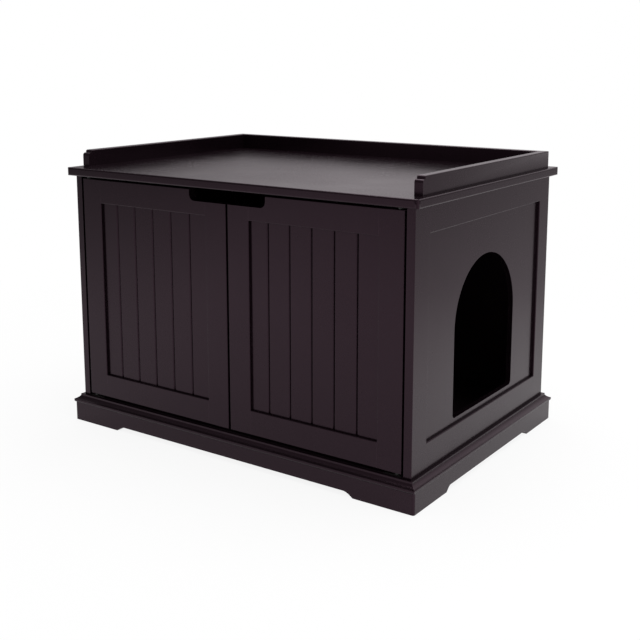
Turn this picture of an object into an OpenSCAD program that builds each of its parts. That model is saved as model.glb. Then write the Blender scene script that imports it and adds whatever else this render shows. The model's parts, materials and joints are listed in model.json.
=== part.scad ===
// Cat litter box cabinet: a low two-door cabinet with an arched pet entrance in its right side,
// a tray-like gallery round the top and a plinth with bracket feet.
// Millimetres. X runs left to right, Y front to back, Z up. The origin is on the floor,
// under the middle of the base.

/* [Carcass] */
// Width over the two side frames
body_w = 725; // [620:0.1:900]
// Depth of the side frames, front edge to back edge
body_d = 505.1; // [430:0.1:640]
// Height of the top surface above the floor
top_z = 490.2; // [440:0.1:640]
// Thickness of the side frames
side_t = 14; // [13:0.1:18]
// Width of the side frames' front stiles
side_stile_w = 47.2; // [40:0.1:70]
// Width of the side frames' back stiles
side_back_stile_w = 42; // [38:0.1:70]
// Height of the side frames' top rail
side_rail_h = 44.5; // [40:0.1:60]
// Height of the side frames' bottom rail that shows above the base
side_bottom_show = 45.7; // [36:0.1:55]
// Depth of the recess in each side, outer face to panel
side_recess = 5; // [3:0.1:6]
// Thickness of the back panel
back_t = 8; // [5:0.1:11]
// How far the back panel stays in from each side face
back_inset = 6; // [4:0.1:7]
// Thickness of the floor panel
floor_t = 12; // [10:0.1:14]

/* [Entrance] */
// Width of the arched entrance
entrance_w = 226.1; // [180:0.1:260]
// Height of the arched entrance, sill to crown
entrance_h = 261.6; // [220:0.1:300]
// Strip of side panel left under the sill
sill_strip = 9; // [5:0.1:20]
// Radius of the entrance's two lower corners
sill_corner_r = 8; // [2:0.1:20]
// How far the entrance's centre line lies behind the middle of the side
entrance_set_back = 3.9; // [0:0.1:20]

/* [Top] */
// Thickness of the top panel
top_t = 15; // [13:0.1:19]
// Overhang of the top beyond each side frame
top_side_over = 12; // [8:0.1:20]
// Overhang of the top beyond the front
top_front_over = 12.5; // [8:0.1:20]
// Overhang of the top beyond the side frames' back edges
top_back_over = 13.6; // [9:0.1:16]
// Radius of the top's corners, seen from above
top_corner_r = 7; // [3:0.1:12]
// Rounding of the top's long edges
top_ease = 3; // [1:0.1:4]

/* [Gallery] */
// Height of the gallery rails
gallery_h = 30.5; // [22:0.1:45]
// Thickness of the gallery rails
gallery_t = 15; // [12:0.1:18]
// Distance of the side rails from the top's side edges
gallery_side_in = 11; // [8:0.1:20]
// Distance of the rails' front ends from the top's front edge
gallery_front_in = 32.5; // [20:0.1:60]
// Distance of the back rail from the top's back edge
gallery_back_in = 25; // [12:0.1:40]
// Radius of the lower round on a rail's front end
gallery_nose_r = 5; // [3:0.1:7]
// Depth of the little step on a rail's front end
gallery_step = 2.4; // [1:0.1:4]
// Height of the riser above that step
gallery_riser = 1.6; // [0.5:0.1:3]
// Radius of the upper round on a rail's front end
gallery_top_r = 3.6; // [2:0.1:5]

/* [Base] */
// Height of the plinth boards
plinth_h = 34.9; // [32:0.1:60]
// Height of the moulding on top of the plinth
moulding_h = 15.6; // [13:0.1:20]
// Projection of the moulding beyond the front and the sides
base_proj = 14.7; // [13:0.1:20]
// Projection of the moulding beyond the side frames' back edges
back_proj = 13.6; // [10.8:0.1:14.5]
// How far the moulding stands proud of the plinth
bead_proud = 1.5; // [1:0.1:3]
// Slanted height under the bead
bead_under = 2.1; // [1:0.1:3]
// Height of the bead's upright face
bead_h = 4; // [2:0.1:5]
// Width of the moulding's hollow slope
cove_run = 9.2; // [6:0.1:10]
// Small step between the slope and the flat ledge
cove_step = 3.2; // [0.6:0.1:4]
// How far the slope is hollowed
cove_sag = 0.9; // [0.3:0.1:1.6]
// Length of a bracket foot along the front and the back
foot_l = 112; // [70:0.1:150]
// Length of a bracket foot along the sides
side_foot_l = 107.5; // [70:0.1:150]
// Height of the gap between the bracket feet
foot_gap_h = 8.8; // [6:0.1:16]
// Length of the curved end of the front and back gaps
foot_curve_l = 19; // [10:0.1:40]
// Length of the curved end of the side gaps
side_foot_curve_l = 13.5; // [8:0.1:40]
// Radius of the plinth's upright corners
plinth_corner_r = 4; // [2:0.1:6]

/* [Doors] */
// Thickness of the doors
door_t = 16; // [15:0.1:20]
// Gap between a door and its side frame
door_side_gap = 4; // [2.5:0.1:5]
// Gap between the two doors
door_mid_gap = 4; // [2:0.1:6]
// Gap above and below the doors
door_end_gap = 4.5; // [3.6:0.1:6]
// Width of the doors' stiles
door_stile_w = 45; // [42:0.1:60]
// Height of the doors' rails
door_rail_h = 44; // [40:0.1:60]
// Depth of the recess in front of the bead-board
door_recess = 5; // [3:0.1:6]
// Thickness of the bead-board panel
bead_board_t = 5; // [4:0.1:6]
// Distance between the bead-board's grooves
groove_pitch = 43.7; // [30:0.1:70]
// Width of the bead-board's first board, at the left of each door
groove_first = 36.8; // [20:0.1:44]
// Width of a groove in the bead-board
groove_w = 4.2; // [2:0.1:6]
// Depth of a groove in the bead-board
groove_deep = 3; // [1:0.1:3.2]
// Width of the hand-hole cut into both doors
hand_w = 165; // [110:0.1:200]
// Depth of the hand-hole below the doors' top edges
hand_h = 20.5; // [12:0.1:28]
// Radius of the hand-hole's lower corners
hand_r = 11; // [6:0.1:20]
// Rounding of the frames' visible edges
edge_r = 1.5; // [0.6:0.1:2.5]

/* [Hinges and catch] */
// Distance of a door's pivot from its outer edge
pivot_in = 10; // [8:0.1:14]
// Distance of a door's pivot from its front face
pivot_back = 6.5; // [5.5:0.1:7.5]
// Radius of the hinge pins
pin_r = 2.5; // [2:0.1:3]
// Radial clearance of a hinge pin in its leaf
pin_fit = 0.05; // [0.02:0.01:0.1]
// Thickness of the hinge plates and leaves
leaf_t = 1.6; // [1.2:0.1:1.7]
// Length of the hinge plates and leaves
leaf_l = 33; // [30:0.1:35]
// Width of the hinge plates and leaves
leaf_w = 11; // [9.5:0.1:12]
// Width of the double magnetic catch
catch_w = 62; // [58:0.1:72]
// Depth of the double magnetic catch
catch_dp = 12; // [9:0.1:20]

/* [Hidden] */
$fn = 48;

// Overrun of every cut beyond the face that it leaves
over = 1;
// Radial play of a screw, dowel or cam fitting in its hole
hole_play = 0.1;

// Places of the carcass
half_w = body_w / 2;
inner_half = half_w - side_t;
side_mid = half_w - side_t / 2;
base_h = plinth_h + moulding_h;
base_d = base_proj + body_d + back_proj;
front_y = base_proj - base_d / 2;
back_y = front_y + body_d;
top_under = top_z - top_t;
floor_under = base_h - floor_t;
plinth_proj = base_proj - bead_proud;
back_step = base_proj - back_proj;

// Places of the side frames; each panel lies in a rebate that is open to the inside
side_foot_clear = 5.5;
side_z0 = foot_gap_h + side_foot_clear;
side_y0 = front_y + side_stile_w;
side_y1 = back_y - side_back_stile_w;
side_rec_z0 = base_h + side_bottom_show;
side_rec_z1 = top_under - side_rail_h;
side_panel_t = side_t - side_recess;
rebate = 8;
rebate_play = 0.4;
entrance_y = (front_y + back_y) / 2 + entrance_set_back;
entrance_z = side_rec_z0 + sill_strip;

// Places of the right door; the left door is its mirror image
door_in = door_mid_gap / 2;
door_out = inner_half - door_side_gap;
door_z0 = base_h + door_end_gap;
door_z1 = top_under - door_end_gap;
door_back = front_y + door_t;
door_rec_in = door_in + door_stile_w;
door_rec_out = door_out - door_stile_w;
door_rec_z0 = door_z0 + door_rail_h;
door_rec_z1 = door_z1 - door_rail_h;
board_y0 = front_y + door_recess;
board_y1 = board_y0 + bead_board_t;
tongue = 8;
board_play = 0.5;

// Places of the hinges
pivot_x = door_out - pivot_in;
pivot_y = front_y + pivot_back;
leaf_mid_y = front_y + leaf_w / 2 + (door_t - leaf_w) / 4;
washer_gap = 0.1;
washer_r = 4.5;
washer_t = door_end_gap - leaf_t - washer_gap;
pin_reach = 7;
pin_l = door_end_gap + leaf_t + pin_reach;
pin_well_play = 0.6;
pin_well_end = 1;
leaf_screw_shares = [0.36, 0.82];

// Gallery rails
top_half_w = half_w + top_side_over;
top_front = front_y - top_front_over;
top_back = back_y + top_back_over;
gallery_x = top_half_w - gallery_side_in;
gallery_y0 = top_front + gallery_front_in;
gallery_y1 = top_back - gallery_back_in;
gallery_top = top_z + gallery_h;
gallery_screw_shares = [0.14, 0.5, 0.86];

// Screws: shank radius, head radius, head height, lengths
screw_r = 1.75;
screw_head_r = 3.5;
screw_head_h = 2;
small_screw_r = 1.3;
small_head_r = 2.6;
small_head_h = 1.4;
point_share = 0.18;
slot_w_share = 0.28;
slot_l_share = 1.3;
slot_deep_share = 0.5;
// Each screw passes through one piece and bites into the next for this length or share of it
back_bite = 14;
block_bite = 7;
leaf_bite = 11;
gallery_bite_share = 0.5;
cleat_bite_share = 0.65;
plinth_bite_share = 0.7;
panel_bite_share = 0.62;
strike_bite_share = 0.45;
back_screw_shares = [0.04, 0.34, 0.66, 0.96];
floor_screw_shares = [0.12, 0.5, 0.88];
base_screw_shares = [0.3, 0.7];

// Cleats and corner blocks under the floor panel
cleat = 20;
block_screw_shares = [0.3, 0.7];

// Dowels and cam fittings of the side frames
dowel_r = 3;
dowel_half = 15;
top_dowel_up = 11;
top_dowel_down = 13;
top_dowel_shares = [0.25, 0.75];
top_rail_dowel_shares = [0.42, 0.8];
bottom_rail_dowel_shares = [0.3, 0.7];
cam_r = 7.5;
cam_deep = 11;
cam_drop = 34;
cam_in = 20;
cam_z = top_under - cam_drop;
cam_bolt_r = 2.5;
cam_thread_r = 3;
cam_thread_l = 10;
cam_bolt_head_r = 3.4;
cam_bolt_head_l = 5;
cam_slot_w = 1.6;
cam_slot_deep = 2;

// Magnetic catch and strike plates; each strike lies over its magnet's middle
strike_w = 16;
strike_h = 12;
strike_t = 1.2;
strike_gap = 0.3;
strike_up = 1.5;
magnet_r = 4;
magnet_t = 3;
magnet_wall = 2;
catch_ear_t = 3;
catch_ear_w = 11;
catch_block_w = catch_w - 2 * catch_ear_w;
catch_y0 = door_back + strike_t + strike_gap;
magnet_x = catch_block_w / 2 - magnet_wall - magnet_r;
magnet_z = door_z0 + strike_up + strike_h / 2;
catch_top = magnet_z + magnet_r + magnet_wall;

// Screw lengths
gallery_screw_l = top_t + gallery_h * gallery_bite_share;
back_screw_l = back_t + back_bite;
floor_screw_l = floor_t + cleat * cleat_bite_share;
block_screw_l = cleat + block_bite;
base_screw_l = cleat + side_t + plinth_proj * plinth_bite_share;
hinge_screw_l = leaf_t + floor_t * panel_bite_share;
leaf_screw_l = leaf_t + leaf_bite;
strike_screw_l = strike_t + door_t * strike_bite_share;
catch_screw_l = catch_ear_t + floor_t * panel_bite_share;

// Colours
espresso = [0.17, 0.14, 0.15];
espresso_inside = [0.12, 0.10, 0.11];
bare_wood = [0.72, 0.60, 0.44];
dark_steel = [0.22, 0.21, 0.20];
zinc = [0.70, 0.71, 0.72];
black_plastic = [0.08, 0.08, 0.09];
nylon = [0.85, 0.85, 0.82];

function spread(lo, hi, shares) = [for (s = shares) lo + (hi - lo) * s];

function arc(cx, cy, r, a0, a1, steps) =
    [for (i = [0:steps]) let (a = a0 + (a1 - a0) * i / steps) [cx + r * cos(a), cy + r * sin(a)]];

// Points on a shallow hollow from one point to another
function hollow(a, b, sag, steps) =
    let (d = b - a, n = [d[1], -d[0]] / norm(d))
    [for (i = [0:steps]) let (t = i / steps) a + d * t + n * (4 * sag * t * (1 - t))];

module left_side() { mirror([1, 0, 0]) children(); }

// Draws what it is given at the right side and its mirror image at the left
module both_sides() {
    children();
    left_side() children();
}

// A board between two opposite corners
module board(lo, hi) { translate(lo) cube(hi - lo); }

// Outlines in X and Z, drawn through from y0 to y1
module along_y(y0, y1) { translate([0, y1, 0]) rotate([90, 0, 0]) linear_extrude(y1 - y0) children(); }

// Outlines in Y and Z, drawn through from x0 to x1
module along_x(x0, x1) { translate([x0, 0, 0]) rotate([90, 0, 90]) linear_extrude(x1 - x0) children(); }

// Outlines in X and Y, drawn through from z0 to z1
module along_z(z0, z1) { translate([0, 0, z0]) linear_extrude(z1 - z0) children(); }

// What a round of radius r takes off a corner at the origin whose material lies towards +, +
module corner_waste(r) {
    difference() {
        translate([-over, -over]) square(r + over);
        translate([r, r]) circle(r);
    }
}

// The same at a place, with the material towards the given signs
module waste_at(at, toward, r) {
    translate(at) scale([toward[0], toward[1]]) corner_waste(r);
}

module soft_rect(w, h, r) {
    square([w - 2 * r, h], center = true);
    square([w, h - 2 * r], center = true);
    for (sx = [-1, 1], sy = [-1, 1]) translate([sx * (w / 2 - r), sy * (h / 2 - r)]) circle(r);
}

// A countersunk screw, head face at the origin, pointing down
module screw(l, r, head_r, head_h) {
    point = l * point_share;
    difference() {
        union() {
            translate([0, 0, -head_h]) cylinder(h = head_h, r1 = r, r2 = head_r);
            translate([0, 0, point - l]) cylinder(h = l - point, r = r);
            translate([0, 0, -l]) cylinder(h = point, r1 = r / 4, r2 = r);
        }
        for (a = [0, 90]) rotate([0, 0, a]) cross_slot(head_r, head_h);
    }
}

module cross_slot(head_r, head_h) {
    l = head_r * slot_l_share;
    w = head_r * slot_w_share;
    deep = head_h * slot_deep_share;
    translate([-l / 2, -w / 2, -deep]) cube([l, w, deep + over]);
}

// The hole for such a screw, with the same play all round
module screw_hole(l, r, head_r, head_h) {
    translate([0, 0, -l - hole_play]) cylinder(h = l + hole_play, r = r + hole_play);
    translate([0, 0, -head_h]) cylinder(h = head_h, r1 = r + hole_play, r2 = head_r + hole_play);
    cylinder(h = over, r = head_r + hole_play);
}

module wood_screw(l) { screw(l, screw_r, screw_head_r, screw_head_h); }
module wood_screw_hole(l) { screw_hole(l, screw_r, screw_head_r, screw_head_h); }
module small_screw(l) { screw(l, small_screw_r, small_head_r, small_head_h); }
module small_screw_hole(l) { screw_hole(l, small_screw_r, small_head_r, small_head_h); }

// Places of the fasteners, each with a screw's head face at the origin and its point down

module gallery_screw_places() {
    side_x = gallery_x - gallery_t / 2;
    back_rail_y = gallery_y1 - gallery_t / 2;
    both_sides() for (y = spread(gallery_y0, gallery_y1, gallery_screw_shares))
        translate([side_x, y, top_under]) rotate([180, 0, 0]) children();
    for (x = spread(-gallery_x, gallery_x, gallery_screw_shares))
        translate([x, back_rail_y, top_under]) rotate([180, 0, 0]) children();
}

module back_screw_places() {
    x = inner_half + (side_t - back_inset) / 2;
    both_sides() for (z = spread(base_h, top_under, back_screw_shares))
        translate([x, back_y + back_t, z]) rotate([-90, 0, 0]) children();
}

module floor_screw_places() {
    both_sides() for (y = spread(front_y + cleat, back_y - cleat, floor_screw_shares))
        translate([inner_half - cleat / 2, y, base_h]) children();
}

module base_screw_places() {
    both_sides() for (y = spread(front_y + cleat, back_y - cleat, base_screw_shares))
        translate([inner_half - cleat, y, floor_under - cleat / 2]) rotate([0, -90, 0]) children();
}

module block_screw_places() {
    x = inner_half - cleat / 2;
    z_low = floor_under * block_screw_shares[0];
    z_high = floor_under * block_screw_shares[1];
    both_sides() {
        translate([x, front_y + cleat, z_low]) rotate([-90, 0, 0]) children();
        translate([x, back_y - cleat, z_low]) rotate([90, 0, 0]) children();
        for (y = [front_y + cleat / 2, back_y - cleat / 2])
            translate([inner_half - cleat, y, z_high]) rotate([0, -90, 0]) children();
    }
}

// Top panel and gallery

module top_shape() {
    mid_y = (top_front + top_back) / 2;
    mid_z = top_z - top_t / 2;
    w = 2 * top_half_w;
    d = top_back - top_front;
    intersection() {
        along_z(top_under, top_z) translate([0, mid_y]) soft_rect(w, d, top_corner_r);
        along_y(top_front - over, top_back + over) translate([0, mid_z]) soft_rect(w, top_t, top_ease);
        along_x(-top_half_w - over, top_half_w + over)
            translate([mid_y, mid_z]) soft_rect(d, top_t, top_ease);
    }
}

module top_panel() {
    color(espresso) difference() {
        top_shape();
        gallery_screw_places() wood_screw_hole(gallery_screw_l);
        cam_places() cam_bolt_hole();
        top_dowel_places() dowel_hole(top_dowel_up);
        hinge_plate_screw_places([true]) small_screw_hole(hinge_screw_l);
    }
}

// Outline of a side rail's length, with its stepped and rounded front end
function gallery_outline() =
    let (y0 = gallery_y0, z_step = gallery_top - gallery_top_r - gallery_riser,
         step_y = y0 + gallery_nose_r + gallery_step)
    concat(
        [[gallery_y1, top_z], [gallery_y1, gallery_top]],
        arc(step_y + gallery_top_r, gallery_top - gallery_top_r, gallery_top_r, 90, 180, 6),
        [[step_y, z_step]],
        arc(y0 + gallery_nose_r, z_step - gallery_nose_r, gallery_nose_r, 90, 180, 6),
        [[y0, top_z]]);

module gallery_rail_side() {
    x_in = gallery_x - gallery_t;
    difference() {
        intersection() {
            along_x(x_in, gallery_x) polygon(gallery_outline());
            along_z(top_z, gallery_top) polygon([
                [x_in, gallery_y0], [gallery_x, gallery_y0],
                [gallery_x, gallery_y1], [x_in, gallery_y1 - gallery_t]]);
        }
        along_y(gallery_y0 - over, gallery_y1 + over) {
            waste_at([gallery_x, gallery_top], [-1, -1], edge_r);
            waste_at([x_in, gallery_top], [1, -1], edge_r);
        }
        gallery_screw_places() wood_screw_hole(gallery_screw_l);
    }
}

module gallery_rail_right() { color(espresso) gallery_rail_side(); }
module gallery_rail_left() { color(espresso) left_side() gallery_rail_side(); }

module gallery_rail_back() {
    x_in = gallery_x - gallery_t;
    y_in = gallery_y1 - gallery_t;
    color(espresso) difference() {
        along_z(top_z, gallery_top) polygon([
            [-gallery_x, gallery_y1], [-x_in, y_in], [x_in, y_in], [gallery_x, gallery_y1]]);
        along_x(-gallery_x - over, gallery_x + over) {
            waste_at([gallery_y1, gallery_top], [-1, -1], edge_r);
            waste_at([y_in, gallery_top], [1, -1], edge_r);
        }
        gallery_screw_places() wood_screw_hole(gallery_screw_l);
    }
}

module gallery_screws() { color(dark_steel) gallery_screw_places() wood_screw(gallery_screw_l); }

// Dowels and cam fittings, placed for the right side and mirrored for the left

module dowel_hole(l) { translate([0, 0, -over]) cylinder(h = l + hole_play + over, r = dowel_r + hole_play); }

module top_dowel_places() {
    both_sides() for (y = spread(side_y0, side_y1, top_dowel_shares))
        translate([side_mid, y, top_under]) children();
}

module frame_dowel_places() {
    top_zs = spread(side_rec_z1, top_under, top_rail_dowel_shares);
    bottom_zs = spread(side_z0, side_rec_z0, bottom_rail_dowel_shares);
    both_sides() for (z = concat(top_zs, bottom_zs), y = [side_y0, side_y1])
        translate([side_mid, y, z]) rotate([90, 0, 0]) children();
}

module frame_dowels() {
    color(bare_wood) {
        frame_dowel_places() cylinder(h = 2 * dowel_half, r = dowel_r, center = true);
        top_dowel_places() translate([0, 0, -top_dowel_down])
            cylinder(h = top_dowel_down + top_dowel_up, r = dowel_r);
    }
}

module dowel_cuts() {
    frame_dowel_places() cylinder(h = 2 * (dowel_half + hole_play), r = dowel_r + hole_play, center = true);
    top_dowel_places() rotate([180, 0, 0]) dowel_hole(top_dowel_down);
}

// Each place is the foot of a cam bolt's thread, on the underside of the top
module cam_places() {
    both_sides() for (y = [front_y + cam_in, back_y - cam_in])
        translate([side_mid, y, top_under]) children();
}

module cam_bolt_hole() {
    translate([0, 0, -over]) cylinder(h = cam_thread_l + hole_play + over, r = cam_thread_r + hole_play);
}

module cam_bolts() {
    color(zinc) cam_places() {
        cylinder(h = cam_thread_l, r = cam_thread_r);
        translate([0, 0, -cam_drop]) cylinder(h = cam_drop, r = cam_bolt_r);
        translate([0, 0, -cam_drop]) cylinder(h = cam_bolt_head_l, r = cam_bolt_head_r);
    }
}

// The cam's own frame: X out of the cabinet from the side frame's inner face
module cam_pocket(play) {
    translate([-side_t / 2, 0, -cam_drop]) rotate([0, 90, 0]) cylinder(h = cam_deep, r = cam_r + play);
}

module cam_cuts() {
    cam_places() {
        cam_pocket(hole_play);
        translate([-side_t / 2 - over, 0, -cam_drop]) rotate([0, 90, 0])
            cylinder(h = 2 * over, r = cam_r + hole_play);
        translate([0, 0, -cam_drop]) cylinder(h = cam_drop + over, r = cam_bolt_head_r + hole_play);
    }
}

module cam_locks() {
    color(zinc) cam_places() difference() {
        cam_pocket(0);
        translate([0, 0, -cam_drop - hole_play]) cylinder(h = cam_drop, r = cam_bolt_head_r + hole_play);
        for (a = [0, 90]) translate([-side_t / 2, 0, -cam_drop]) rotate([a, 0, 0])
            translate([-over, -cam_slot_w / 2, -cam_r / 2]) cube([cam_slot_deep + over, cam_slot_w, cam_r]);
    }
}

// Side frames

module side_panel_space(play) {
    board([inner_half - over, side_y0 - rebate - play, side_rec_z0 - rebate - play],
          [inner_half + side_panel_t, side_y1 + rebate + play, side_rec_z1 + rebate + play]);
}

module side_edge_cuts() {
    along_z(side_z0 - over, top_under + over) {
        waste_at([half_w, front_y], [-1, 1], edge_r);
        waste_at([half_w, back_y], [-1, -1], edge_r);
    }
    along_z(side_rec_z0, side_rec_z1) {
        waste_at([half_w, side_y0], [-1, -1], edge_r);
        waste_at([half_w, side_y1], [-1, 1], edge_r);
    }
    along_y(side_y0, side_y1) {
        waste_at([half_w, side_rec_z0], [-1, -1], edge_r);
        waste_at([half_w, side_rec_z1], [-1, 1], edge_r);
    }
}

module side_piece(lo, hi) {
    difference() {
        board(lo, hi);
        side_panel_space(rebate_play);
        side_edge_cuts();
        dowel_cuts();
        cam_cuts();
        base_screw_places() wood_screw_hole(base_screw_l);
        block_screw_places() wood_screw_hole(block_screw_l);
        back_screw_places() small_screw_hole(back_screw_l);
    }
}

module side_front_stile() { side_piece([inner_half, front_y, side_z0], [half_w, side_y0, top_under]); }
module side_back_stile() { side_piece([inner_half, side_y1, side_z0], [half_w, back_y, top_under]); }
module side_top_rail() { side_piece([inner_half, side_y0, side_rec_z1], [half_w, side_y1, top_under]); }
module side_bottom_rail() { side_piece([inner_half, side_y0, side_z0], [half_w, side_y1, side_rec_z0]); }

module right_front_stile() { color(espresso) side_front_stile(); }
module right_back_stile() { color(espresso) side_back_stile(); }
module right_top_rail() { color(espresso) side_top_rail(); }
module right_bottom_rail() { color(espresso) side_bottom_rail(); }
module left_front_stile() { color(espresso) left_side() side_front_stile(); }
module left_back_stile() { color(espresso) left_side() side_back_stile(); }
module left_top_rail() { color(espresso) left_side() side_top_rail(); }
module left_bottom_rail() { color(espresso) left_side() side_bottom_rail(); }

module side_panel_blank() {
    board([inner_half, side_y0 - rebate, side_rec_z0 - rebate],
          [inner_half + side_panel_t, side_y1 + rebate, side_rec_z1 + rebate]);
}

// The entrance has upright sides, a half-round crown and a level sill between two small rounds
module entrance_outline() {
    r = entrance_w / 2;
    flat = r - sill_corner_r;
    translate([entrance_y, entrance_z]) {
        translate([-r, sill_corner_r]) square([entrance_w, entrance_h - r - sill_corner_r]);
        translate([-flat, 0]) square([2 * flat, entrance_h - r]);
        for (sx = [-1, 1]) translate([sx * flat, sill_corner_r]) circle(sill_corner_r);
        translate([0, entrance_h - r]) circle(r, $fn = 96);
    }
}

module entrance_panel() {
    color(espresso) difference() {
        side_panel_blank();
        along_x(inner_half - over, half_w) entrance_outline();
    }
}

module left_side_panel() { color(espresso) left_side() side_panel_blank(); }

// Back, floor and what carries it

module back_panel() {
    color(espresso_inside) difference() {
        board([-half_w + back_inset, back_y, base_h], [half_w - back_inset, back_y + back_t, top_under]);
        back_screw_places() small_screw_hole(back_screw_l);
    }
}

module back_panel_screws() { color(dark_steel) back_screw_places() small_screw(back_screw_l); }

module floor_panel() {
    color(espresso_inside) difference() {
        board([-inner_half, front_y, floor_under], [inner_half, back_y, base_h]);
        floor_screw_places() wood_screw_hole(floor_screw_l);
        hinge_plate_screw_places([false]) small_screw_hole(hinge_screw_l);
        catch_screw_places() small_screw_hole(catch_screw_l);
    }
}

module floor_screws() { color(dark_steel) floor_screw_places() wood_screw(floor_screw_l); }

module floor_cleats() {
    color(bare_wood) difference() {
        both_sides() board([inner_half - cleat, front_y + cleat, floor_under - cleat],
                           [inner_half, back_y - cleat, floor_under]);
        floor_screw_places() wood_screw_hole(floor_screw_l);
        base_screw_places() wood_screw_hole(base_screw_l);
    }
}

module corner_blocks() {
    color(bare_wood) difference() {
        both_sides() for (y = [front_y, back_y - cleat])
            board([inner_half - cleat, y, 0], [inner_half, y + cleat, floor_under]);
        block_screw_places() wood_screw_hole(block_screw_l);
    }
}

module corner_block_screws() { color(dark_steel) block_screw_places() wood_screw(block_screw_l); }
module base_screws() { color(dark_steel) base_screw_places() wood_screw(base_screw_l); }

// Plinth and moulding: mitred rings round the base, p out from the front and sides

function ring_front(p) = [
    [-half_w - p, front_y - p], [half_w + p, front_y - p], [half_w, front_y], [-half_w, front_y]];

function ring_back(p) = [
    [half_w + p, back_y + p - back_step], [-half_w - p, back_y + p - back_step],
    [-half_w - back_step, back_y], [half_w + back_step, back_y]];

function ring_side(p) = [
    [half_w + p, front_y - p], [half_w + p, back_y + p - back_step],
    [half_w + back_step, back_y], [half_w, back_y], [half_w, front_y]];

// The gap between two bracket feet: its length is l, and each end rises over a length of run
// in a quarter of a sine wave
function foot_gap(l, run) =
    let (steps = 8,
         rise = [for (i = [0:steps]) [run * i / steps, foot_gap_h * sin(90 * i / steps)]])
    concat([[-l / 2, -over]], [for (q = rise) [q[0] - l / 2, q[1]]],
           [for (i = [steps:-1:0]) [l / 2 - rise[i][0], rise[i][1]]], [[l / 2, -over]]);

module plinth_corner_cuts() {
    x = half_w + plinth_proj;
    y0 = front_y - plinth_proj;
    y1 = back_y + plinth_proj - back_step;
    along_z(-over, plinth_h + over) for (sx = [-1, 1]) {
        waste_at([sx * x, y0], [-sx, 1], plinth_corner_r);
        waste_at([sx * x, y1], [-sx, -1], plinth_corner_r);
    }
}

module plinth_front() {
    l = 2 * (half_w + plinth_proj - foot_l);
    color(espresso) difference() {
        along_z(0, plinth_h) polygon(ring_front(plinth_proj));
        plinth_corner_cuts();
        along_y(front_y - base_proj - over, front_y + over) polygon(foot_gap(l, foot_curve_l));
        block_screw_places() wood_screw_hole(block_screw_l);
    }
}

module plinth_back() {
    l = 2 * (half_w + plinth_proj - foot_l);
    color(espresso) difference() {
        along_z(0, plinth_h) polygon(ring_back(plinth_proj));
        plinth_corner_cuts();
        along_y(back_y - over, back_y + base_proj + over) polygon(foot_gap(l, foot_curve_l));
        block_screw_places() wood_screw_hole(block_screw_l);
    }
}

module plinth_side() {
    l = base_d - 2 * bead_proud - 2 * side_foot_l;
    difference() {
        along_z(0, plinth_h) polygon(ring_side(plinth_proj));
        plinth_corner_cuts();
        along_x(half_w - over, half_w + base_proj + over) polygon(foot_gap(l, side_foot_curve_l));
        base_screw_places() wood_screw_hole(base_screw_l);
    }
}

module plinth_right() { color(espresso) plinth_side(); }
module plinth_left() { color(espresso) left_side() plinth_side(); }

// Section of the moulding: distance out from the carcass, then height, for a projection p
function moulding_section(p) =
    let (z_bead = plinth_h + bead_under + bead_h, ledge = p - cove_run)
    concat([[0, plinth_h], [p - bead_proud, plinth_h], [p, plinth_h + bead_under]],
           hollow([p, z_bead], [ledge, base_h - cove_step], -cove_sag, 6),
           [[ledge, base_h], [0, base_h]]);

module base_moulding_front() {
    reach = half_w + base_proj + over;
    color(espresso) intersection() {
        along_x(-reach, reach) translate([front_y, 0]) scale([-1, 1]) polygon(moulding_section(base_proj));
        along_z(0, base_h + over) polygon(ring_front(base_proj));
    }
}

module base_moulding_back() {
    reach = half_w + base_proj + over;
    color(espresso) intersection() {
        along_x(-reach, reach) translate([back_y, 0]) polygon(moulding_section(back_proj));
        along_z(0, base_h + over) polygon(ring_back(base_proj));
    }
}

module base_moulding_side() {
    intersection() {
        along_y(front_y - base_proj - over, back_y + base_proj + over)
            translate([half_w, 0]) polygon(moulding_section(base_proj));
        along_z(0, base_h + over) polygon(ring_side(base_proj));
    }
}

module base_moulding_right() { color(espresso) base_moulding_side(); }
module base_moulding_left() { color(espresso) left_side() base_moulding_side(); }

// Doors

module door_edge_cuts() {
    along_z(door_z0 - over, door_z1 + over) {
        waste_at([door_out, front_y], [-1, 1], edge_r);
        waste_at([door_in, front_y], [1, 1], edge_r);
    }
    along_x(door_in - over, door_out + over) {
        waste_at([front_y, door_z0], [1, 1], edge_r);
        waste_at([front_y, door_z1], [1, -1], edge_r);
    }
    along_z(door_rec_z0, door_rec_z1) {
        waste_at([door_rec_out, front_y], [1, 1], edge_r);
        waste_at([door_rec_in, front_y], [-1, 1], edge_r);
    }
    along_x(door_rec_in, door_rec_out) {
        waste_at([front_y, door_rec_z0], [1, -1], edge_r);
        waste_at([front_y, door_rec_z1], [1, 1], edge_r);
    }
}

// Both halves of the hand-hole: open at the doors' top edges, with rounded lower corners
module hand_hole() {
    z0 = door_z1 - hand_h;
    r = min(hand_r, hand_h);
    along_y(front_y - over, door_back + over) {
        translate([-hand_w / 2 + r, z0]) square([hand_w - 2 * r, hand_h + over]);
        translate([-hand_w / 2, z0 + r]) square([hand_w, hand_h - r + over]);
        for (sx = [-1, 1]) translate([sx * (hand_w / 2 - r), z0 + r]) circle(r);
    }
}

module stile_groove(x0, x1) {
    board([x0, board_y0, door_z0 - over], [x1, board_y1, door_z1 + over]);
}

module door_hinge_stile() {
    difference() {
        board([door_rec_out, front_y, door_z0], [door_out, door_back, door_z1]);
        stile_groove(door_rec_out - over, door_rec_out + tongue);
        door_edge_cuts();
        for (top = [false, true]) at_door_end(top) {
            translate([0, 0, -leaf_t]) leaf_blank(leaf_t + over);
            translate([pivot_x, pivot_y, -leaf_t - pin_reach - pin_well_end])
                cylinder(h = pin_reach + pin_well_end + leaf_t, r = pin_r + pin_well_play);
            leaf_screw_places() small_screw_hole(leaf_screw_l);
        }
    }
}

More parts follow.
